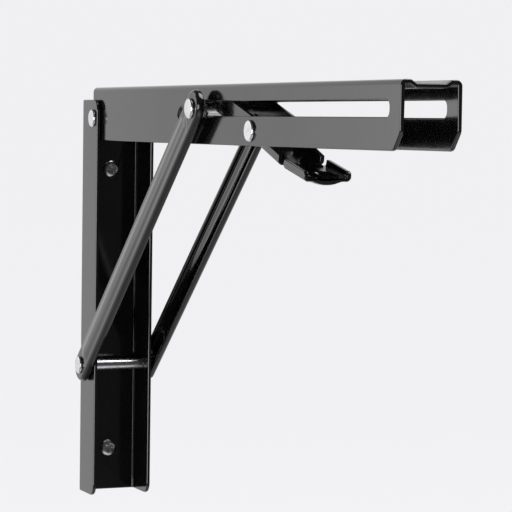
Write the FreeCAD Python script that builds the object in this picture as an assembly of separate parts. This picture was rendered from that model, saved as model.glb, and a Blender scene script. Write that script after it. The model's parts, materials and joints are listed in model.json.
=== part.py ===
import FreeCAD, Part
import math
import os

# Folding bracket, drawn open and locked.
# X runs out from the wall plate along the arm, Y across the bracket, Z up. The origin is on
# the back of the wall plate, on the centre plane, at the height of the hinge.
# All sizes are in millimetres, all angles in degrees.

# Sheet steel
SHEET = 1.5                   # gauge of every pressed piece
BEND_OUTER = 2.0              # outside radius of the channel bends

# Wall plate
PLATE_ABOVE_HINGE = 7.8       # top edge above the hinge axis
PLATE_BELOW_HINGE = 159.5     # bottom edge below the hinge axis
PLATE_DEPTH = 19.5            # back of the plate to the front edge of the cheeks
PLATE_CORNER = 4.5            # rounding of the cheeks' front corners
WALL_HOLE_TOP = 21.5          # upper screw hole below the hinge axis
WALL_HOLE_PITCH = 120.0
WALL_HOLE_RADIUS = 2.5

# Arm
ARM_WIDTH = 21.6
ARM_REACH = 300.0             # back of the wall plate to the tip
ARM_HEEL = 6.1                # inner end behind the hinge axis
ARM_RISE = 13.0               # top above the hinge axis
ARM_DROP = 9.4                # lower edge below the hinge axis
ARM_HEEL_ROUND = 5.0
TIP_CUT_LENGTH = 4.9          # sloping cut at the lower corner of the tip
TIP_CUT_HEIGHT = 6.0
TIP_CUT_ROUND = 3.0
TROUGH_FLAT = 5.0             # half width of the trough's floor in the top
TROUGH_TOP = 7.0              # half width of the trough at its shoulders
TROUGH_DEPTH = 1.3
TROUGH_ROUND = 0.8
SLOT_RISE = 3.9               # middle of the long slot above the hinge axis
SLOT_HEIGHT = 5.4
SLOT_CORNER = 2.2
SLOT_TIP_MARGIN = 8.1         # tip of the arm to the outer end of the slot
NOTCH_MIDDLE = 100.3          # along the arm from the hinge axis
NOTCH_WIDTH = 13.8
NOTCH_TOP = 5.1               # above the hinge axis
NOTCH_ROUND = 5.5
SHELF_HOLE_FIRST = 44.3       # along the arm from the hinge axis
SHELF_HOLE_PITCH = 200.0
SHELF_HOLE_RADIUS = 2.25

# Pivots
HINGE_SET_BACK = 4.9          # hinge axis behind the cheeks' front edge
HINGE_RADIUS = 2.5
HINGE_HEAD_RADIUS = 3.7
HINGE_FLARE_RADIUS = 3.4
HINGE_FLARE = 0.8
LOWER_AXLE_SET_BACK = 8.3     # lower strut axle behind the cheeks' front edge
LOWER_AXLE_DROP = 104.4       # lower strut axle below the hinge axis
LOWER_AXLE_RADIUS = 2.3
LOWER_HEAD_RADIUS = 3.7
UPPER_AXLE_ALONG = 121.8      # upper axle along the arm from the hinge axis
UPPER_AXLE_RADIUS = 2.5
UPPER_HEAD_RADIUS = 3.85
LOWER_SPACER_RADIUS = 4.1
SLOT_SPACER_RADIUS = 3.5
HEAD_HEIGHT = 1.1
HEAD_CHAMFER = 0.4
FLARE_SLACK = 0.1             # between a flared end and the sheet it holds

# Struts
STRUT_WIDTH = 12.0
STRUT_DEPTH = 3.0
STRUT_OVERHANG = 7.5          # end of the strut beyond its pivot
STRUT_EDGE = 0.9              # sloping break along the outer face's edge
STRUT_STAND_OFF = 0.7         # wall plate cheek to the strut's rim
RIB_WIDTH = 7.4               # raised rib along the strut's face
RIB_HEIGHT = 0.65
RIB_MARGIN = 5.2              # pivot to the end of the rib

# Release lever, laid out along its own length from its pivot
LEVER_SPAN = 44.3             # upper axle to the lever's pivot, along the arm
LEVER_DROP = 4.0              # pivot below the hinge axis
LEVER_TILT = 16.0             # handle hangs down by this much
LEVER_SIDE_GAP = 0.5          # lever's cheek to the arm's flange
LEVER_NOSE = 43.5             # pivot to the end that holds the axle
LEVER_NOSE_ROUND = 4.0
LEVER_TOP = 4.0               # cheeks' upper edge above the pivot
LEVER_BASE = 4.5              # underside below the pivot
LEVER_STEP_START = 3.5        # where the cheeks step down to the shank
LEVER_STEP_END = 9.5
LEVER_SHANK_TOP = 0.65        # shank's upper edge below the pivot, before it bends
SHANK_BEND = 3.0              # shank bends down beyond the pivot
LEVER_FORK = 27.0             # pivot to the floor's end, beyond it only the two cheeks
LEVER_SHANK_END = 22.9
RELIEF_WIDTH = 4.6            # notch between shank and handle
RELIEF_DEPTH = 2.2            # notch in from the lever's side
HANDLE_END = 46.0
HANDLE_LIFT = 6.5             # handle bends up from the shank
HANDLE_HEIGHT = 3.6
HANDLE_ROUND = 1.6
LEVER_ROUND = 1.8             # small corners of the lever's outline
DIMPLE_ALONG = 41.5           # near enough to the handle's end to bow its edge
DIMPLE_RADIUS = 6.5
DIMPLE_DEPTH = 1.8
LEVER_PIN_RADIUS = 2.5
LEVER_HEAD_RADIUS = 3.9

# Clearances
CHEEK_GAP = 0.5               # arm to the wall plate's cheek, each side
PRESS_GAP = 0.03              # pin in a piece that it stays fixed in
RUN_GAP = 0.08                # pin in a piece that turns on it
SLIDE_GAP = 0.2               # upper axle in the arm's slot
FACE_GAP = 0.15               # spacer to the cheek that it slides on
PIVOT_GAP = 0.2               # upper axle to the strut's rivet, and to the lever's cheeks

# Derived planes and points
ARM_HALF = ARM_WIDTH / 2
ARM_INNER = ARM_HALF - SHEET
PLATE_INNER = ARM_HALF + CHEEK_GAP
PLATE_HALF = PLATE_INNER + SHEET
HINGE_OUT = PLATE_DEPTH - HINGE_SET_BACK
LOWER_AXLE_OUT = PLATE_DEPTH - LOWER_AXLE_SET_BACK
STRUT_RIM = PLATE_HALF + STRUT_STAND_OFF
STRUT_FACE = STRUT_RIM + STRUT_DEPTH
STRUT_FLOOR = STRUT_FACE - SHEET
LEVER_HALF = ARM_INNER - LEVER_SIDE_GAP
LEVER_INNER = LEVER_HALF - SHEET
SLOT_END = ARM_REACH - SLOT_TIP_MARGIN
SLOT_START = HINGE_OUT + UPPER_AXLE_ALONG - UPPER_AXLE_RADIUS - SLIDE_GAP
LOWER_AXLE = FreeCAD.Vector(LOWER_AXLE_OUT, 0, -LOWER_AXLE_DROP)
UPPER_AXLE = FreeCAD.Vector(HINGE_OUT + UPPER_AXLE_ALONG, 0, SLOT_RISE)
LEVER_PIVOT = FreeCAD.Vector(UPPER_AXLE.x + LEVER_SPAN, 0, -LEVER_DROP)
STRUT_LENGTH = (UPPER_AXLE - LOWER_AXLE).Length
STRUT_ANGLE = math.degrees(math.atan2(UPPER_AXLE.z - LOWER_AXLE.z, UPPER_AXLE.x - LOWER_AXLE.x))
ORIGIN = FreeCAD.Vector(0, 0, 0)
ACROSS = FreeCAD.Vector(0, 1, 0)
THROUGH = 60.0                # longer than the bracket is wide


def side(x, z):
    """Point of an outline drawn on the XZ plane."""
    return FreeCAD.Vector(x, 0, z)


def section(y, z):
    """Point of an outline drawn on the YZ plane."""
    return FreeCAD.Vector(0, y, z)


def outline(corners):
    """Closed face from (point, rounding) corners, with an arc at each rounded corner."""
    edges = []
    previous_end = None
    first_start = None
    count = len(corners)
    for index in range(count):
        point, rounding = corners[index]
        towards_last = (corners[index - 1][0] - point).normalize()
        towards_next = (corners[(index + 1) % count][0] - point).normalize()
        half_angle = towards_last.getAngle(towards_next) / 2
        reach = rounding / math.tan(half_angle)
        start = point + towards_last * reach
        end = point + towards_next * reach
        if previous_end is None:
            first_start = start
        else:
            edges.append(Part.LineSegment(previous_end, start).toShape())
        if rounding > 0:
            bisector = (towards_last + towards_next).normalize()
            crown = point + bisector * (rounding / math.sin(half_angle) - rounding)
            edges.append(Part.Arc(start, crown, end).toShape())
        previous_end = end
    edges.append(Part.LineSegment(previous_end, first_start).toShape())
    return Part.Face(Part.Wire(edges))


def side_block(corners, half_width):
    """Outline on the XZ plane, made into a block across the bracket."""
    face = outline(corners)
    face.translate(FreeCAD.Vector(0, -half_width, 0))
    return face.extrude(ACROSS * (2 * half_width))


def pin(centre, radius, start, end):
    """Cylinder across the bracket, from one Y to another."""
    base = FreeCAD.Vector(centre.x, start, centre.z)
    return Part.makeCylinder(radius, end - start, base, ACROSS)


def ring(centre, inner, outer, start, end):
    return pin(centre, outer, start, end).cut(pin(centre, inner, start, end))


def rivet_head(centre, radius, seat):
    """Flat rivet head with a chamfered rim, standing outwards from its seat at Y = seat."""
    outward = math.copysign(1, seat)
    half = outline([
        (FreeCAD.Vector(0, 0, 0), 0),
        (FreeCAD.Vector(radius, 0, 0), 0),
        (FreeCAD.Vector(radius, HEAD_HEIGHT - HEAD_CHAMFER, 0), 0),
        (FreeCAD.Vector(radius - HEAD_CHAMFER, HEAD_HEIGHT, 0), 0),
        (FreeCAD.Vector(0, HEAD_HEIGHT, 0), 0),
    ])
    head = half.revolve(ORIGIN, ACROSS, 360)
    if outward < 0:
        head = head.mirror(ORIGIN, ACROSS)
    head.translate(FreeCAD.Vector(centre.x, seat, centre.z))
    return head


def on_side(shape, hand):
    """The same piece on the left (-1, as made) or mirrored to the right (1)."""
    if hand < 0:
        return shape
    return shape.mirror(ORIGIN, ACROSS)


def channel_section(half_width, base, rim, rounding):
    """U section on the YZ plane: a web between Y = +-half_width at Z = base, open towards rim."""
    inside = half_width - SHEET
    web_inside = base + math.copysign(SHEET, rim - base)
    inner_round = rounding - SHEET
    return outline([
        (section(-half_width, rim), 0),
        (section(-half_width, base), rounding),
        (section(half_width, base), rounding),
        (section(half_width, rim), 0),
        (section(inside, rim), 0),
        (section(inside, web_inside), inner_round),
        (section(-inside, web_inside), inner_round),
        (section(-inside, rim), 0),
    ])


def wall_plate():
    """Upright channel with screw holes in its web, and holes for hinge and axle in its cheeks."""
    inside = PLATE_HALF - SHEET
    inner_round = BEND_OUTER - SHEET
    height = PLATE_ABOVE_HINGE + PLATE_BELOW_HINGE

    def plan(x, y):
        return FreeCAD.Vector(x, y, -PLATE_BELOW_HINGE)

    channel = outline([
        (plan(PLATE_DEPTH, -PLATE_HALF), 0),
        (plan(0, -PLATE_HALF), BEND_OUTER),
        (plan(0, PLATE_HALF), BEND_OUTER),
        (plan(PLATE_DEPTH, PLATE_HALF), 0),
        (plan(PLATE_DEPTH, inside), 0),
        (plan(SHEET, inside), inner_round),
        (plan(SHEET, -inside), inner_round),
        (plan(PLATE_DEPTH, -inside), 0),
    ]).extrude(FreeCAD.Vector(0, 0, height))
    profile = side_block([
        (side(0, -PLATE_BELOW_HINGE), 0),
        (side(PLATE_DEPTH, -PLATE_BELOW_HINGE), PLATE_CORNER),
        (side(PLATE_DEPTH, PLATE_ABOVE_HINGE), PLATE_CORNER),
        (side(0, PLATE_ABOVE_HINGE), 0),
    ], THROUGH)
    plate = channel.common(profile)
    hinge = FreeCAD.Vector(HINGE_OUT, 0, 0)
    plate = plate.cut(pin(hinge, HINGE_RADIUS + PRESS_GAP, -THROUGH, THROUGH))
    plate = plate.cut(pin(LOWER_AXLE, LOWER_AXLE_RADIUS + RUN_GAP, -THROUGH, THROUGH))
    for step in range(2):
        height_of_hole = -WALL_HOLE_TOP - step * WALL_HOLE_PITCH
        start = FreeCAD.Vector(-SHEET, 0, height_of_hole)
        plate = plate.cut(Part.makeCylinder(WALL_HOLE_RADIUS, 3 * SHEET, start, FreeCAD.Vector(1, 0, 0)))
    return plate


def arm_section():
    """Inverted channel with a shallow trough pressed along its top."""
    top = ARM_RISE
    under = ARM_RISE - SHEET
    rim = -ARM_DROP
    slope = math.atan2(TROUGH_DEPTH, TROUGH_TOP - TROUGH_FLAT)
    shift = SHEET * math.tan(slope / 2)
    inner_round = BEND_OUTER - SHEET
    right_half = [
        (section(TROUGH_FLAT, top - TROUGH_DEPTH), TROUGH_ROUND),
        (section(TROUGH_TOP, top), TROUGH_ROUND),
        (section(ARM_HALF, top), BEND_OUTER),
        (section(ARM_HALF, rim), 0),
        (section(ARM_INNER, rim), 0),
        (section(ARM_INNER, under), inner_round),
        (section(TROUGH_TOP + shift, under), TROUGH_ROUND),
        (section(TROUGH_FLAT + shift, under - TROUGH_DEPTH), TROUGH_ROUND),
    ]
    left_half = []
    for point, rounding in reversed(right_half):
        left_half.append((section(-point.y, point.z), rounding))
    return outline(right_half + left_half)


def arm_channel():
    """Arm: long slot, notch for the lower axle, pivot and screw holes."""
    heel = HINGE_OUT - ARM_HEEL
    face = arm_section()
    face.translate(FreeCAD.Vector(heel, 0, 0))
    arm = face.extrude(FreeCAD.Vector(ARM_REACH - heel, 0, 0))
    profile = side_block([
        (side(heel, -ARM_DROP), ARM_HEEL_ROUND),
        (side(ARM_REACH - TIP_CUT_LENGTH, -ARM_DROP), TIP_CUT_ROUND),
        (side(ARM_REACH, -ARM_DROP + TIP_CUT_HEIGHT), TIP_CUT_ROUND),
        (side(ARM_REACH, ARM_RISE), 0),
        (side(heel, ARM_RISE), 0),
    ], THROUGH)
    arm = arm.common(profile)
    slot = side_block([
        (side(SLOT_START, SLOT_RISE - SLOT_HEIGHT / 2), SLOT_CORNER),
        (side(SLOT_END, SLOT_RISE - SLOT_HEIGHT / 2), SLOT_CORNER),
        (side(SLOT_END, SLOT_RISE + SLOT_HEIGHT / 2), SLOT_CORNER),
        (side(SLOT_START, SLOT_RISE + SLOT_HEIGHT / 2), SLOT_CORNER),
    ], THROUGH)
    notch_left = HINGE_OUT + NOTCH_MIDDLE - NOTCH_WIDTH / 2
    notch_right = notch_left + NOTCH_WIDTH
    notch = side_block([
        (side(notch_left, -ARM_DROP - SHEET), 0),
        (side(notch_right, -ARM_DROP - SHEET), 0),
        (side(notch_right, NOTCH_TOP), NOTCH_ROUND),
        (side(notch_left, NOTCH_TOP), NOTCH_ROUND),
    ], THROUGH)
    arm = arm.cut(slot).cut(notch)
    hinge = FreeCAD.Vector(HINGE_OUT, 0, 0)
    arm = arm.cut(pin(hinge, HINGE_RADIUS + RUN_GAP, -THROUGH, THROUGH))
    arm = arm.cut(pin(LEVER_PIVOT, LEVER_PIN_RADIUS + PRESS_GAP, -THROUGH, THROUGH))
    for step in range(2):
        along = HINGE_OUT + SHELF_HOLE_FIRST + step * SHELF_HOLE_PITCH
        start = FreeCAD.Vector(along, 0, ARM_RISE - TROUGH_DEPTH - 2 * SHEET)
        arm = arm.cut(Part.makeCylinder(SHELF_HOLE_RADIUS, 3 * SHEET, start))
    return arm


def hinge_rivet(hand):
    """Rivet through the wall plate's cheek and the arm's flange, flared inside the arm."""
    hinge = FreeCAD.Vector(HINGE_OUT, 0, 0)
    flare_seat = ARM_INNER - FLARE_SLACK
    shank = pin(hinge, HINGE_RADIUS, -PLATE_HALF, -flare_seat)
    flare = pin(hinge, HINGE_FLARE_RADIUS, -flare_seat, -flare_seat + HINGE_FLARE)
    rivet = shank.fuse(flare).fuse(rivet_head(hinge, HINGE_HEAD_RADIUS, -PLATE_HALF))
    return on_side(rivet.removeSplitter(), hand)


def strut_frame(shape):
    """Turn a piece drawn along +X from the lower pivot into the strut's place."""
    turned = shape.rotated(ORIGIN, ACROSS, -STRUT_ANGLE)
    return turned.translated(LOWER_AXLE)


def strut_tray(grow, start, end):
    """Long round-ended block between two Y planes, grown past the strut's outline by grow."""
    half = STRUT_WIDTH / 2 + grow
    left = -STRUT_OVERHANG - grow
    right = STRUT_LENGTH + STRUT_OVERHANG + grow
    almost_round = half * 0.999
    face = outline([
        (side(left, -half), almost_round),
        (side(right, -half), almost_round),
        (side(right, half), almost_round),
        (side(left, half), almost_round),
    ])
    face.translate(FreeCAD.Vector(0, start, 0))
    return face.extrude(ACROSS * (end - start))


def strut_rib(seat, floor):
    """Crowned rib with round ends that stands out from Y = -seat, cut off at Y = -floor."""
    half = RIB_WIDTH / 2
    crown = (half ** 2 + RIB_HEIGHT ** 2) / (2 * RIB_HEIGHT)
    depth = -seat - RIB_HEIGHT + crown
    start = FreeCAD.Vector(RIB_MARGIN + half, depth, 0)
    end = FreeCAD.Vector(STRUT_LENGTH - RIB_MARGIN - half, depth, 0)
    along = FreeCAD.Vector(1, 0, 0)
    rod = Part.makeCylinder(crown, end.x - start.x, start, along)
    rod = rod.fuse(Part.makeSphere(crown, start)).fuse(Part.makeSphere(crown, end))
    corner = FreeCAD.Vector(-crown, -THROUGH, -half - SHEET)
    outside = Part.makeBox(STRUT_LENGTH + 2 * crown, THROUGH - floor, RIB_WIDTH + 2 * SHEET, corner)
    return rod.common(outside)


def strut(hand):
    """Pressed strut: a ribbed outer face whose rim is turned in all round, open towards the arm."""
    block = strut_tray(0, -STRUT_FACE, -STRUT_RIM)
    face_edges = []
    for edge in block.Edges:
        if abs(edge.BoundBox.YMax + STRUT_FACE) < SHEET / 2:
            face_edges.append(edge)
    block = block.makeChamfer(STRUT_EDGE, face_edges)
    body = block.fuse(strut_rib(STRUT_FACE, STRUT_FACE - SHEET / 3))
    body = body.cut(strut_tray(-SHEET, -STRUT_FLOOR, -STRUT_RIM + SHEET))
    body = body.cut(strut_rib(STRUT_FLOOR, STRUT_FLOOR - SHEET / 3))
    lower = FreeCAD.Vector(0, 0, 0)
    upper = FreeCAD.Vector(STRUT_LENGTH, 0, 0)
    body = body.cut(pin(lower, LOWER_AXLE_RADIUS + PRESS_GAP, -THROUGH, THROUGH))
    body = body.cut(pin(upper, UPPER_AXLE_RADIUS + PRESS_GAP, -THROUGH, THROUGH))
    return on_side(strut_frame(body), hand)


def lower_axle():
    """Axle through the wall plate, headed outside both struts."""
    axle = pin(LOWER_AXLE, LOWER_AXLE_RADIUS, -STRUT_FACE, STRUT_FACE)
    for seat in (-STRUT_FACE, STRUT_FACE):
        axle = axle.fuse(rivet_head(LOWER_AXLE, LOWER_HEAD_RADIUS, seat))
    return axle.removeSplitter()


def lower_spacer(hand):
    """Spacer on the lower axle between the wall plate and the strut."""
    inner = LOWER_AXLE_RADIUS + PRESS_GAP
    spacer = ring(LOWER_AXLE, inner, LOWER_SPACER_RADIUS, -STRUT_FLOOR, -PLATE_HALF - FACE_GAP)
    return on_side(spacer, hand)


def upper_rivet(hand):
    """End of the upper axle where it is headed outside the strut."""
    shank = pin(UPPER_AXLE, UPPER_AXLE_RADIUS, -STRUT_FACE, -STRUT_RIM)
    rivet = shank.fuse(rivet_head(UPPER_AXLE, UPPER_HEAD_RADIUS, -STRUT_FACE))
    return on_side(rivet.removeSplitter(), hand)


def upper_axle():
    """Axle in the arm's slots, parted where the lever's two cheeks swing past it."""
    stud_start = LEVER_HALF + PIVOT_GAP
    stud_end = STRUT_RIM - PIVOT_GAP
    bar_end = LEVER_INNER - PIVOT_GAP
    return Part.makeCompound([
        pin(UPPER_AXLE, UPPER_AXLE_RADIUS, -stud_end, -stud_start),
        pin(UPPER_AXLE, UPPER_AXLE_RADIUS, -bar_end, bar_end),
        pin(UPPER_AXLE, UPPER_AXLE_RADIUS, stud_start, stud_end),
    ])


def slot_spacer(hand):
    """Spacer on the upper axle between the arm and the strut."""
    inner = UPPER_AXLE_RADIUS + PRESS_GAP
    spacer = ring(UPPER_AXLE, inner, SLOT_SPACER_RADIUS, -STRUT_RIM + PIVOT_GAP, -ARM_HALF - FACE_GAP)
    return on_side(spacer, hand)


def shank_drop(along):
    """How far the bent shank has come down at a distance beyond the pivot."""
    return along * math.tan(math.radians(SHANK_BEND))


def lever_shank():
    """Lever from its nose to the relief notch: cheeks, floor and low shank."""
    start = -LEVER_NOSE
    floor_end = LEVER_SHANK_END + RELIEF_WIDTH / 2
    face = channel_section(LEVER_HALF, -LEVER_BASE, LEVER_TOP + SHEET, LEVER_ROUND)
    channel = face.extrude(FreeCAD.Vector(start, 0, 0))
    channel = channel.fuse(face.extrude(FreeCAD.Vector(floor_end, 0, -shank_drop(floor_end))))

    def bent(x, z):
        return side(x, z - shank_drop(x))

    profile = side_block([
        (side(start, -LEVER_BASE), LEVER_NOSE_ROUND),
        (side(-LEVER_FORK, -LEVER_BASE), 0),
        (side(floor_end, -3 * LEVER_BASE), 0),
        (bent(floor_end, -LEVER_BASE + 2 * SHEET), 0),
        (bent(LEVER_SHANK_END, -LEVER_BASE + 2 * SHEET), 0),
        (bent(LEVER_SHANK_END, -LEVER_SHANK_TOP), SHEET / 2),
        (bent(LEVER_STEP_END, -LEVER_SHANK_TOP), LEVER_ROUND),
        (side(LEVER_STEP_START, LEVER_TOP), LEVER_ROUND),
        (side(start, LEVER_TOP), LEVER_NOSE_ROUND),
    ], THROUGH)
    fork_length = LEVER_NOSE - LEVER_FORK + SHEET
    fork_corner = FreeCAD.Vector(start - SHEET, -LEVER_INNER, -LEVER_BASE - SHEET)
    fork = Part.makeBox(fork_length, 2 * LEVER_INNER, 3 * SHEET, fork_corner)
    return channel.common(profile).cut(fork)


def lever_handle():
    """Handle: a low channel with a thumb dimple, bent up from the shank at the relief notch."""
    start = LEVER_SHANK_END + RELIEF_WIDTH / 2
    rim = -LEVER_BASE + HANDLE_HEIGHT
    face = channel_section(LEVER_HALF, -LEVER_BASE, rim, LEVER_ROUND)
    face.translate(FreeCAD.Vector(start, 0, 0))
    channel = face.extrude(FreeCAD.Vector(HANDLE_END - start, 0, 0))
    profile = side_block([
        (side(start, -LEVER_BASE), 0),
        (side(HANDLE_END, -LEVER_BASE), SHEET / 2),
        (side(HANDLE_END, rim), HANDLE_ROUND),
        (side(start, rim), 0),
    ], THROUGH)
    handle = channel.common(profile)
    ball = (DIMPLE_RADIUS ** 2 + DIMPLE_DEPTH ** 2) / (2 * DIMPLE_DEPTH)
    ball_centre = FreeCAD.Vector(DIMPLE_ALONG, 0, -LEVER_BASE - DIMPLE_DEPTH + ball)
    below = FreeCAD.Vector(DIMPLE_ALONG - ball, -ball, ball_centre.z - 2 * ball)
    to_floor = Part.makeBox(2 * ball, 2 * ball, -LEVER_BASE + SHEET - below.z, below)
    bulge = Part.makeSphere(ball, ball_centre)
    bulge_length = HANDLE_END - below.x
    bulge_box = Part.makeBox(bulge_length, 2 * ball, -LEVER_BASE + SHEET / 2 - below.z, below)
    hollow = Part.makeSphere(ball - SHEET, ball_centre).common(to_floor)
    handle = handle.fuse(bulge.common(bulge_box)).cut(hollow)
    hinge_line = FreeCAD.Vector(start, 0, -LEVER_BASE)
    lifted = handle.rotated(hinge_line, ACROSS, SHANK_BEND - HANDLE_LIFT)
    return lifted.translated(FreeCAD.Vector(0, 0, -shank_drop(start)))


def release_lever():
    """Forked lever that hangs under the arm and holds the upper axle at its nose."""
    lever = lever_shank().fuse(lever_handle())
    corner = FreeCAD.Vector(LEVER_SHANK_END, -LEVER_HALF - SHEET, -2 * LEVER_BASE)
    relief = Part.makeBox(RELIEF_WIDTH, SHEET + RELIEF_DEPTH, 2 * LEVER_BASE + LEVER_TOP, corner)
    for hand in (-1, 1):
        lever = lever.cut(on_side(relief, hand))
    lever = lever.cut(pin(ORIGIN, LEVER_PIN_RADIUS + RUN_GAP, -THROUGH, THROUGH))
    lever = lever.removeSplitter()
    return lever.rotated(ORIGIN, ACROSS, LEVER_TILT).translated(LEVER_PIVOT)


def lever_pin():
    """Pivot of the lever, headed outside both flanges of the arm."""
    pivot = pin(LEVER_PIVOT, LEVER_PIN_RADIUS, -ARM_HALF, ARM_HALF)
    for seat in (-ARM_HALF, ARM_HALF):
        pivot = pivot.fuse(rivet_head(LEVER_PIVOT, LEVER_HEAD_RADIUS, seat))
    return pivot.removeSplitter()


def pieces():
    made = {
        "wall_plate": wall_plate(),
        "arm_channel": arm_channel(),
        "lower_axle": lower_axle(),
        "upper_axle": upper_axle(),
        "release_lever": release_lever(),
        "lever_pin": lever_pin(),
    }
    for hand, word in ((-1, "left"), (1, "right")):
        made["hinge_rivet_" + word] = hinge_rivet(hand)
        made["strut_" + word] = strut(hand)
        made["lower_spacer_" + word] = lower_spacer(hand)
        made["upper_rivet_" + word] = upper_rivet(hand)
        made["slot_spacer_" + word] = slot_spacer(hand)
    return made


def main():
    os.makedirs("parts", exist_ok=True)
    for name, shape in pieces().items():
        shape.exportStep("parts/" + name + ".step")
        print(name, "solids", len(shape.Solids), "valid", shape.isValid(), "volume", round(shape.Volume, 1))


main()
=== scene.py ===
# %% [markdown]
# # A folding bracket
# The bracket is pressed from sheet steel and enamelled gloss black. Its rivets, axles and spacers are
# bright zinc. The CAD model gives every shape and place but those of the screws. This script adds what
# a photograph shows and a CAD model lacks: eased edges, the finish of each surface, and the screws that
# hold the plate.
#
# First the imported model is loaded as a fixed frame. Each dressed piece is later compared with the box
# of its node.

# %% Load the frame
import json
import math

import bmesh
import bpy
from mathutils import Matrix, Vector


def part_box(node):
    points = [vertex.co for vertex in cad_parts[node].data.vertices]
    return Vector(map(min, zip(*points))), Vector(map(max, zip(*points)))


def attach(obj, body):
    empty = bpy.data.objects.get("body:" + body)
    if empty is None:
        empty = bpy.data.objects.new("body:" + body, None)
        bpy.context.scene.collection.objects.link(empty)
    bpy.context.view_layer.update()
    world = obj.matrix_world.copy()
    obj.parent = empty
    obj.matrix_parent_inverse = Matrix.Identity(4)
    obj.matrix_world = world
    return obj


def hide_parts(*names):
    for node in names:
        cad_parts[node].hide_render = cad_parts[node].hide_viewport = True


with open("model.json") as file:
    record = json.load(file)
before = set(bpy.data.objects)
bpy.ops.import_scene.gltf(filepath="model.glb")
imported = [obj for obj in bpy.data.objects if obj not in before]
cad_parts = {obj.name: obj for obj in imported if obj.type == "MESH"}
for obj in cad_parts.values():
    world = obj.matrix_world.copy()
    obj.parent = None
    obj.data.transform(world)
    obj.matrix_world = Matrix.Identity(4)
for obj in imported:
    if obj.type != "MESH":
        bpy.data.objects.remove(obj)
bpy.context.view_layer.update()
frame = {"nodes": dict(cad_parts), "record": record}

scene = bpy.context.scene
nodes = frame["nodes"]
record = frame["record"]
MM = 0.001
QUARTER_TURN = math.radians(90)
FULL_TURN = math.radians(360)

# %% [markdown]
# ## The camera
# A nearly level camera with a long lens stands in front of the arm's tip and a little to one side. The
# wall plate and the tip then show their ends, and the arm's side runs away from the viewer. A long lens
# keeps the arm and the plate close to their true proportions. The place and the three angles are set
# directly, because aiming at a point would not give the small roll.

# %% Camera
CAMERA_PLACE = Vector((0.9423, -0.3302, -0.0018))
CAMERA_AZIMUTH = math.radians(67.06)
CAMERA_PITCH = math.radians(-3.234)
CAMERA_ROLL = math.radians(0.819)
CAMERA_LENS = 163.3
SENSOR_WIDTH = 36.0
NEAREST_SEEN = 0.01

turn = Matrix.Rotation(CAMERA_AZIMUTH, 4, "Z")
tilt = Matrix.Rotation(QUARTER_TURN + CAMERA_PITCH, 4, "X")
roll = Matrix.Rotation(CAMERA_ROLL, 4, "Z")
camera = bpy.data.objects.new("camera", bpy.data.cameras.new("camera"))
camera.data.lens = CAMERA_LENS
camera.data.sensor_width = SENSOR_WIDTH
camera.data.clip_start = NEAREST_SEEN
camera.matrix_world = Matrix.Translation(CAMERA_PLACE) @ turn @ tilt @ roll
scene.collection.objects.link(camera)
scene.camera = camera
view_line = camera.matrix_world.to_3x3() @ Vector((0, 0, -1))
print("camera looks along", [round(v, 3) for v in view_line])

# %% [markdown]
# ## An effect that both finishes share
# No finish is quite even. Sprayed enamel dries with a faint ripple, called orange peel, and its gloss
# varies a little from place to place. Plated zinc has a fine grain, and patches that are brighter or
# duller. Both are one effect at different sizes: fine relief over broad patches. It is a shader node
# group with named inputs, built once and placed in each material with the material's own values. The
# group gives only a height and a mask; the shader stays in the material.

# %% Node helpers
def feed(tree, node, inputs):
    """Give inputs of a node fixed values, or links from the outputs of other nodes."""
    for key, value in inputs.items():
        if isinstance(value, bpy.types.NodeSocket):
            tree.links.new(value, node.inputs[key])
        else:
            node.inputs[key].default_value = value
    return node


def add_node(tree, kind, inputs):
    return feed(tree, tree.nodes.new(kind), inputs)


def math_node(tree, operation, first, second):
    node = tree.nodes.new("ShaderNodeMath")
    node.operation = operation
    return feed(tree, node, {0: first, 1: second}).outputs[0]


def map_range(tree, value, source, target=(0, 1), interpolation="LINEAR"):
    """Map a value from one range to another, kept inside the second range."""
    node = tree.nodes.new("ShaderNodeMapRange")
    node.interpolation_type = interpolation
    feed(tree, node, {"Value": value, "From Min": source[0], "From Max": source[1],
                      "To Min": target[0], "To Max": target[1]})
    return node.outputs["Result"]


# %% Fine relief over broad patches
SKIN_LAYERS = ("Fine", "Broad")
NOISE_INPUTS = ("Scale", "Detail", "Roughness")
PATCH_RANGE = (0.3, 0.7)


def make_uneven_skin():
    """A group that gives the fine layer as a height and the broad layer as a mask."""
    group = bpy.data.node_groups.new("uneven_skin", "ShaderNodeTree")
    add_socket = group.interface.new_socket
    add_socket("Position", in_out="INPUT", socket_type="NodeSocketVector")
    for layer in SKIN_LAYERS:
        for title in NOISE_INPUTS:
            add_socket(layer + " " + title, in_out="INPUT", socket_type="NodeSocketFloat")
    for title in ("Height", "Patches"):
        add_socket(title, in_out="OUTPUT", socket_type="NodeSocketFloat")
    given = group.nodes.new("NodeGroupInput").outputs
    noise = {}
    for layer in SKIN_LAYERS:
        inputs = {title: given[layer + " " + title] for title in NOISE_INPUTS}
        inputs["Vector"] = given["Position"]
        noise[layer] = add_node(group, "ShaderNodeTexNoise", inputs).outputs["Fac"]
    patches = map_range(group, noise["Broad"], PATCH_RANGE)
    add_node(group, "NodeGroupOutput", {"Height": noise["Fine"], "Patches": patches})
    return group


uneven_skin = make_uneven_skin()
print("group", uneven_skin.name, "with", len(uneven_skin.nodes), "nodes")

# %% [markdown]
# ## The two finishes
# Gloss black enamel is a nearly black base under a smooth dielectric surface. What the eye sees is
# mostly the reflection, which is weak face on and strong at a glancing angle, so the arm's side looks
# grey and the inside of the channels looks black. Zinc is a metal: its own colour tints the reflection.

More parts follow.
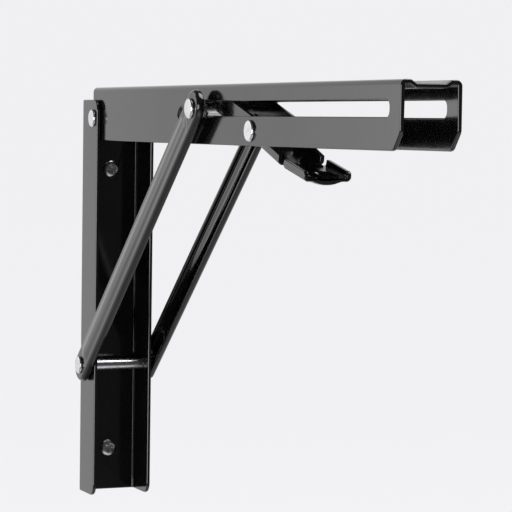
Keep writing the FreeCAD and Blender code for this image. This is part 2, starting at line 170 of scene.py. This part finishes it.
# %% A finish with the shared skin
def make_finish(name, skin_values, colours, roughness, relief, shader_values):
    """A material whose colour and gloss follow the skin's patches, and its normal the skin's height."""
    material = bpy.data.materials.new(name)
    material.use_nodes = True
    tree = material.node_tree
    skin = tree.nodes.new("ShaderNodeGroup")
    skin.node_tree = uneven_skin
    place = tree.nodes.new("ShaderNodeTexCoord").outputs["Object"]
    feed(tree, skin, {"Position": place, **skin_values})
    patches = skin.outputs["Patches"]
    colour = tree.nodes.new("ShaderNodeMix")
    colour.data_type = "RGBA"
    feed(tree, colour, {"Factor": patches, "A": colours[0], "B": colours[1]})
    bump = add_node(tree, "ShaderNodeBump", {"Height": skin.outputs["Height"], **relief})
    feed(tree, tree.nodes["Principled BSDF"], {
        "Base Color": colour.outputs["Result"],
        "Roughness": map_range(tree, patches, (0, 1), roughness),
        "Normal": bump.outputs["Normal"],
        **shader_values,
    })
    return material


# %% Gloss black enamel
ENAMEL_SKIN = {"Fine Scale": 700, "Fine Detail": 1, "Fine Roughness": 0.5,
               "Broad Scale": 55, "Broad Detail": 4, "Broad Roughness": 0.6}
ENAMEL_DEEP = (0.004, 0.004, 0.0044, 1)
ENAMEL_THIN = (0.008, 0.008, 0.0084, 1)
ENAMEL_ROUGHNESS = (0.07, 0.13)
ENAMEL_RIPPLE = {"Distance": 0.02 * MM, "Strength": 0.35}

enamel = make_finish("gloss_black_enamel", ENAMEL_SKIN, (ENAMEL_DEEP, ENAMEL_THIN), ENAMEL_ROUGHNESS,
                     ENAMEL_RIPPLE, {"IOR": 1.58})
print("material", enamel.name)

# %% Bright zinc
ZINC_SKIN = {"Fine Scale": 2600, "Fine Detail": 2, "Fine Roughness": 0.5,
             "Broad Scale": 420, "Broad Detail": 3, "Broad Roughness": 0.55}
ZINC_BRIGHT = (0.68, 0.68, 0.69, 1)
ZINC_DULL = (0.5, 0.5, 0.52, 1)
ZINC_ROUGHNESS = (0.2, 0.34)
ZINC_GRAIN = {"Distance": 0.01 * MM, "Strength": 0.3}

zinc = make_finish("bright_zinc", ZINC_SKIN, (ZINC_BRIGHT, ZINC_DULL), ZINC_ROUGHNESS, ZINC_GRAIN,
                   {"Metallic": 1.0})
print("material", zinc.name)
FINISHES = {"black_paint": enamel, "zinc": zinc}

# %% [markdown]
# ## Dressing the CAD pieces
# A press leaves a small radius on every cut edge, and paint rounds it further. That radius is what
# catches the light, so a model with knife edges looks drawn. Each CAD node gets a welded copy: its loose
# triangles are merged, flat regions become single faces, and a Bevel modifier eases what is sharp. In the
# lever and the arm, edges too short to round are dissolved first. The copy stands for the node and rides
# on the same body.

# %% Welded copies with eased edges
WELD = 0.001 * MM
FLAT = math.radians(0.4)
SHARP = math.radians(36)
CRUMBS = {"release_lever": 0.2 * MM, "arm_channel": 0.2 * MM}
EASE = {"black_paint": 0.5 * MM, "zinc": 0.22 * MM}
EASE_OF = {"release_lever": 0.25 * MM}
EASE_SEGMENTS = 2
FLAT_FACE_WEIGHT = 90

body_of = {}
for body, members in record["behaviour"]["bodies"].items():
    for member in members:
        body_of[member] = body
slot_of = {row["node"]: row["material_slot"] for row in record["subparts"]}


def mesh_from(shape, name):
    """A mesh with smooth faces from a bmesh, which is freed."""
    for face in shape.faces:
        face.smooth = True
    mesh = bpy.data.meshes.new(name)
    shape.to_mesh(mesh)
    shape.free()
    return mesh


def add_piece(name, mesh, body, slot):
    """A finished piece at the origin that rides on a body and takes the finish of a slot."""
    piece = bpy.data.objects.new(name, mesh)
    scene.collection.objects.link(piece)
    mesh.materials.clear()
    mesh.materials.append(FINISHES[slot])
    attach(piece, body)
    return piece


def ease_edges(piece, width, clamp=False):
    bevel = piece.modifiers.new("eased edges", "BEVEL")
    bevel.width = width
    bevel.segments = EASE_SEGMENTS
    bevel.use_clamp_overlap = clamp
    bevel.limit_method = "ANGLE"
    bevel.angle_limit = SHARP
    normals = piece.modifiers.new("flat faces stay flat", "WEIGHTED_NORMAL")
    normals.mode = "FACE_AREA"
    normals.weight = FLAT_FACE_WEIGHT


def welded_copy(node):
    """The node's mesh, merged, with single flat faces and, where asked, without its shortest edges."""
    shape = bmesh.new()
    shape.from_mesh(nodes[node].data)
    bmesh.ops.remove_doubles(shape, verts=shape.verts, dist=WELD)
    bmesh.ops.dissolve_limit(shape, angle_limit=FLAT, verts=shape.verts, edges=shape.edges)
    if node in CRUMBS:
        bmesh.ops.dissolve_degenerate(shape, dist=CRUMBS[node], edges=shape.edges)
    return mesh_from(shape, node + "_finished")


def dress(node):
    slot = slot_of[node]
    piece = add_piece(node + "_finished", welded_copy(node), body_of[node], slot)
    ease_edges(piece, EASE_OF.get(node, EASE[slot]))
    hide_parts(node)
    return piece


def grown(piece, node):
    """How far the finished piece stands outside the box of its node, in millimetres."""
    low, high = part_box(node)
    finished = piece.evaluated_get(bpy.context.evaluated_depsgraph_get())
    over = [max(low[axis] - corner[axis], corner[axis] - high[axis])
            for corner in finished.bound_box for axis in range(3)]
    return round(max(over) / MM, 3)


for node in sorted(nodes):
    if node != "upper_axle":
        piece = dress(node)
        print(piece.name, "faces", len(piece.data.polygons), "on", body_of[node],
              "grown", grown(piece, node))

# %% [markdown]
# ## The axle in the slots
# The real upper axle is one turned bar from strut to strut. The CAD node is parted where the lever's
# cheeks pass, so that the motions can be tested one at a time. At rest and at the ends of each motion
# nothing is in the way, so the bar is shown whole.

# %% Upper axle as one bar
AXLE_SIDES = 64


def upper_axle_bar():
    low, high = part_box("upper_axle")
    radius = (high.x - low.x) / 2
    shape = bmesh.new()
    bmesh.ops.create_cone(shape, cap_ends=True, segments=AXLE_SIDES, radius1=radius, radius2=radius,
                          depth=high.y - low.y)
    bmesh.ops.rotate(shape, verts=shape.verts, cent=(0, 0, 0),
                     matrix=Matrix.Rotation(QUARTER_TURN, 3, "X"))
    bmesh.ops.translate(shape, verts=shape.verts, vec=(low + high) / 2)
    piece = add_piece("upper_axle_bar", mesh_from(shape, "upper_axle_bar"), "slider", "zinc")
    ease_edges(piece, EASE["zinc"])
    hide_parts("upper_axle")
    print(piece.name, "from Y", round(low.y, 4), "to", round(high.y, 4))


upper_axle_bar()

# %% [markdown]
# ## The screws in the wall plate
# Two low pan head screws with a cross recess hold the plate. They lie in the trough of the arm's top
# when the bracket is folded, so their heads are low. A screw is a turned piece, so half of its outline is
# drawn and spun about the X axis. The outline stops at the mouth of the recess. The cross starts as a
# grid of nine faces that loses its four corners. A fill joins it to the round mouth, and an inset with
# depth presses it in.

# %% Half outline of a screw, spun
SCREW_SIDES = 48
SHANK_END = 0.2 * MM
SHANK_RADIUS = 2.3 * MM
SHEET_FRONT = 1.5 * MM
HEAD_RADIUS = 3.5 * MM
SIDE_TOP = SHEET_FRONT + 0.45 * MM
SHOULDER_TOP = SHEET_FRONT + 0.85 * MM
SHOULDER_RADIUS = HEAD_RADIUS - 0.5 * MM
HEAD_TOP = SHEET_FRONT + 1.2 * MM
MOUTH_RADIUS = 2.35 * MM


def spun_screw():
    """Shank, seat and domed head about the X axis, open at the mouth of the recess."""
    shape = bmesh.new()
    outline = [
        (SHANK_END, 0),
        (SHANK_END, SHANK_RADIUS),
        (SHEET_FRONT, SHANK_RADIUS),
        (SHEET_FRONT, HEAD_RADIUS),
        (SIDE_TOP, HEAD_RADIUS),
        (SHOULDER_TOP, SHOULDER_RADIUS),
        (HEAD_TOP, MOUTH_RADIUS),
    ]
    points = [shape.verts.new((x, 0, radius)) for x, radius in outline]
    edges = [shape.edges.new(pair) for pair in zip(points, points[1:])]
    bmesh.ops.spin(shape, geom=points + edges, cent=(0, 0, 0), axis=(1, 0, 0), dvec=(0, 0, 0),
                   angle=FULL_TURN, steps=SCREW_SIDES, use_merge=True, use_duplicate=False)
    bmesh.ops.remove_doubles(shape, verts=shape.verts, dist=WELD)
    return shape


# %% Cross recess, and both screws
SCREW_HEIGHTS = (-21.5 * MM, -141.5 * MM)
SCREW_TURNS = (math.radians(24), math.radians(63))
SCREW_EASE = 0.15 * MM
CROSS_REACH = 1.95 * MM
CROSS_HALF_WIDTH = 0.52 * MM
CROSS_DEPTH = 0.9 * MM
CROSS_TAPER = 0.12 * MM
GRID_SIZE = 1.0
GRID_BORDER = 0.9


def press_cross(shape):
    """A cross of five faces in the mouth, joined to its rim and pressed in."""
    grid = bmesh.ops.create_grid(shape, x_segments=3, y_segments=3, size=GRID_SIZE)["verts"]
    corners = [vert for vert in grid if min(abs(side) for side in vert.co.xy) > GRID_BORDER]
    cross = [vert for vert in grid if vert not in corners]
    bmesh.ops.delete(shape, geom=corners, context="VERTS")
    for vert in cross:
        y, z = (math.copysign(CROSS_REACH if abs(side) > GRID_BORDER else CROSS_HALF_WIDTH, side)
                for side in vert.co.xy)
        vert.co = Vector((HEAD_TOP, y, z))
    rim = [edge for edge in shape.edges if edge.is_boundary]
    bmesh.ops.triangle_fill(shape, edges=rim, use_beauty=True, use_dissolve=False, normal=(1, 0, 0))
    bottom = [face for face in shape.faces if all(vert in cross for vert in face.verts)]
    bmesh.ops.recalc_face_normals(shape, faces=shape.faces)
    bmesh.ops.inset_region(shape, faces=bottom, thickness=CROSS_TAPER, depth=-CROSS_DEPTH,
                           use_even_offset=True, use_boundary=True)


def add_screw(name, height, turn_angle):
    shape = spun_screw()
    press_cross(shape)
    bmesh.ops.rotate(shape, verts=shape.verts, cent=(0, 0, 0),
                     matrix=Matrix.Rotation(turn_angle, 3, "X"))
    bmesh.ops.translate(shape, verts=shape.verts, vec=(0, 0, height))
    open_edges = [edge for edge in shape.edges if not edge.is_manifold]
    print(name, "faces", len(shape.faces), "open edges", len(open_edges))
    piece = add_piece(name, mesh_from(shape, name), body_of["wall_plate"], "zinc")
    ease_edges(piece, SCREW_EASE, clamp=True)


for number, (height, turn_angle) in enumerate(zip(SCREW_HEIGHTS, SCREW_TURNS), start=1):
    add_screw("wall_screw_" + str(number), height, turn_angle)

# %% [markdown]
# ## Floor, light and background
# The bracket hangs free above a plain pale floor. Black gloss shows its surroundings, so they matter more
# than the lamps: white behind the plate and whiter at the viewer's left, dim below, dark overhead and on
# the viewer's side. The world gives that as a soft gradient to glossy rays, an even light to the rest,
# and a pale grey to the camera. The floor adds the same pale grey of its own for the camera, and still
# takes the shadow. A wide softbox at the viewer's left puts a line of light on the rounded edges, and one
# above lights the heads of the screws.

# %% Shader helpers
PALE = (0.871, 0.871, 0.885, 1)


def seen_rays(tree):
    """1 for rays that show the background itself, from the camera or through something clear."""
    path = tree.nodes.new("ShaderNodeLightPath").outputs
    return math_node(tree, "MAXIMUM", path["Is Camera Ray"], path["Is Transmission Ray"])


def mix_shaders(tree, factor, first, second):
    """The first shader where the factor is 0, and the second where it is 1."""
    return add_node(tree, "ShaderNodeMixShader", {0: factor, 1: first, 2: second}).outputs["Shader"]


# %% Floor
FLOOR_DROP = 0.34
FLOOR_REACH = 6.0
FLOOR_FINISH = {"Base Color": (0.8, 0.8, 0.81, 1), "Roughness": 0.9, "Specular IOR Level": 0.0}
FLOOR_GLOW = 1.083
GLOW_SHARE = 0.86


def floor_material():
    material = bpy.data.materials.new("pale_floor")
    material.use_nodes = True
    tree = material.node_tree
    lit = feed(tree, tree.nodes["Principled BSDF"], FLOOR_FINISH).outputs["BSDF"]
    glow = add_node(tree, "ShaderNodeEmission", {"Color": PALE, "Strength": FLOOR_GLOW})
    share = math_node(tree, "MULTIPLY", seen_rays(tree), GLOW_SHARE)
    surface = mix_shaders(tree, share, lit, glow.outputs["Emission"])
    feed(tree, tree.nodes["Material Output"], {"Surface": surface})
    return material


def make_floor():
    shape = bmesh.new()
    bmesh.ops.create_grid(shape, x_segments=1, y_segments=1, size=FLOOR_REACH)
    bmesh.ops.translate(shape, verts=shape.verts, vec=(0, 0, -FLOOR_DROP))
    mesh = mesh_from(shape, "floor")
    mesh.materials.append(floor_material())
    floor = bpy.data.objects.new("floor", mesh)
    scene.collection.objects.link(floor)
    floor.visible_glossy = False
    print(floor.name, "at Z", -FLOOR_DROP)


make_floor()

# %% What glossy rays find
# A ray's direction has a length of 1. Each range says where along an axis a part of the studio begins
# and where it is complete.
BEHIND = (0.1, 0.75)
LEFT = (0.36, 0.55)
OVERHEAD = (0.3, 0.7)
UNDER_LEFT = (0.05, 0.2)
BELOW = (0.3, 0.9)
BEFORE = (-0.1, 0.4)
WHITE_BEHIND = 0.88
WHITER_LEFT = 1.15
OVERHEAD_LOSS = 0.9
DIM_BELOW = 0.3
LIT_FLOOR = 0.62
DARK = 0.07


def surroundings(tree):
    """How bright a glossy ray finds the studio.

    It is white behind, whiter at the left above the horizon, dim below, with a lit floor before, and
    dark elsewhere.
    """
    ray = tree.nodes.new("ShaderNodeTexCoord").outputs["Generated"]
    x, y, z = add_node(tree, "ShaderNodeSeparateXYZ", {"Vector": ray}).outputs

    def times(first, second):
        return math_node(tree, "MULTIPLY", first, second)

    def plus(first, second):
        return math_node(tree, "ADD", first, second)

    def rest_of(share):
        return math_node(tree, "SUBTRACT", 1, share)

    def soft(value, limits):
        return map_range(tree, value, limits, interpolation="SMOOTHSTEP")

    down = times(z, -1)
    open_sky = rest_of(times(soft(z, OVERHEAD), OVERHEAD_LOSS))
    left = times(soft(times(y, -1), LEFT), rest_of(soft(down, UNDER_LEFT)))
    glow = plus(times(left, WHITER_LEFT), WHITE_BEHIND)
    white = times(times(soft(times(x, -1), BEHIND), open_sky), glow)
    lit_floor = times(soft(x, BEFORE), LIT_FLOOR)
    dim = times(soft(down, BELOW), plus(lit_floor, DIM_BELOW))
    return plus(plus(white, dim), DARK)


# %% World
WHITE = (1, 1, 1, 1)
EVEN_COLOUR = (0.9, 0.9, 0.92, 1)
EVEN_STRENGTH = 0.6


def background(tree, colour, strength):
    inputs = {"Color": colour, "Strength": strength}
    return add_node(tree, "ShaderNodeBackground", inputs).outputs["Background"]


def make_world():
    world = bpy.data.worlds.new("studio")
    world.use_nodes = True
    tree = world.node_tree
    tree.nodes.clear()
    even = background(tree, EVEN_COLOUR, EVEN_STRENGTH)
    mirrored = background(tree, WHITE, surroundings(tree))
    glossy_rays = tree.nodes.new("ShaderNodeLightPath").outputs["Is Glossy Ray"]
    light = mix_shaders(tree, glossy_rays, even, mirrored)
    surface = mix_shaders(tree, seen_rays(tree), light, background(tree, PALE, 1.0))
    add_node(tree, "ShaderNodeOutputWorld", {"Surface": surface})
    scene.world = world
    print("world", world.name, "with", len(tree.nodes), "nodes")


make_world()

# %% Lamps
SIDE_SOFTBOX = {"place": (0.8, -1.21, -0.15), "target": (0.1, 0, -0.15),
                "width": 1.3, "height": 0.6, "power": 12.5}
TOP_SOFTBOX = {"place": (0.35, 0.5, 1.1), "target": (0.1, 0, -0.05),
               "width": 0.8, "height": 0.8, "power": 11}


def add_softbox(name, place, target, width, height, power):
    lamp = bpy.data.objects.new(name, bpy.data.lights.new(name, "AREA"))
    lamp.data.shape = "RECTANGLE"
    lamp.data.size = width
    lamp.data.size_y = height
    lamp.data.energy = power
    lamp.visible_camera = False
    lamp.location = place
    lamp.rotation_euler = (Vector(target) - Vector(place)).to_track_quat("-Z", "Y").to_euler()
    scene.collection.objects.link(lamp)
    return lamp


side = add_softbox("side softbox", **SIDE_SOFTBOX)
side.visible_diffuse = False
top = add_softbox("top softbox", **TOP_SOFTBOX)
print("lamps", side.name, "and", top.name)
scene.view_settings.view_transform = "Standard"
